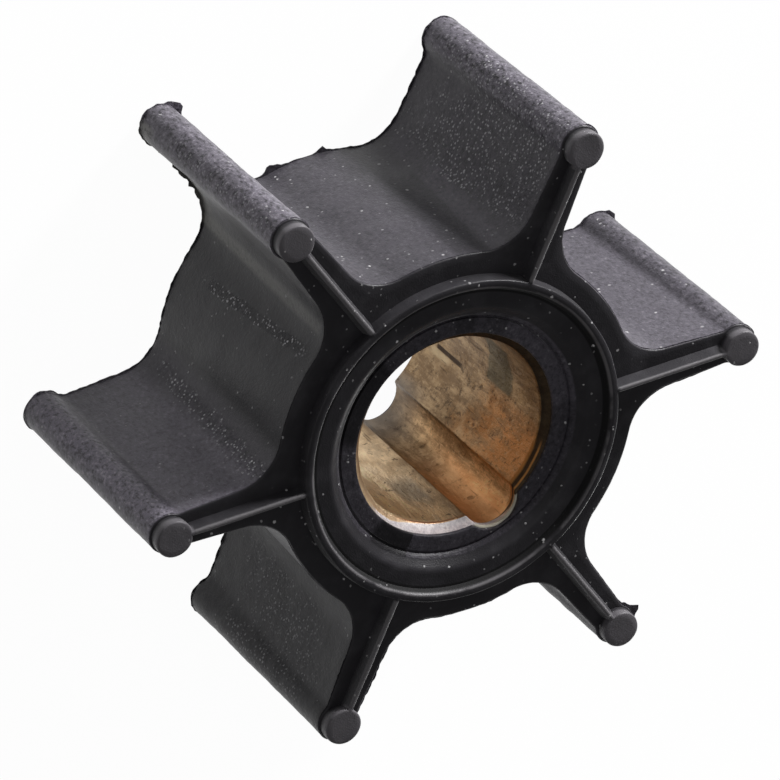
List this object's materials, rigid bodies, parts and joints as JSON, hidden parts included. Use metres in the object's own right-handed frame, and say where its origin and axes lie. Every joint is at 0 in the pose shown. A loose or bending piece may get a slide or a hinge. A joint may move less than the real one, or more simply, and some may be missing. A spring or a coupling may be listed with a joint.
{
  "type": "rubber pump impeller",
  "caption": "Flexible rubber water-pump impeller with bead-tipped vanes, bonded to a bronze sleeve with a half-round keyway in its bore.",
  "frame": {"origin": "on the shaft axis, in the plane of the back end of the hub and vanes, where the part stands", "axes": "+Z along the shaft axis towards the ribbed and collared end, +X along one vane"},
  "size_m": [0.0408, 0.0356, 0.0181],
  "materials": {
    "black_rubber": "dull moulded rubber with pebbled flanks, ragged flash and pale dust",
    "bronze": "dull tarnished bronze with dark stains and fine scratches"
  },
  "bodies": {
    "root": {"rubber_impeller": "black_rubber", "bronze_sleeve": "bronze"}
  },
  "joints": []
}
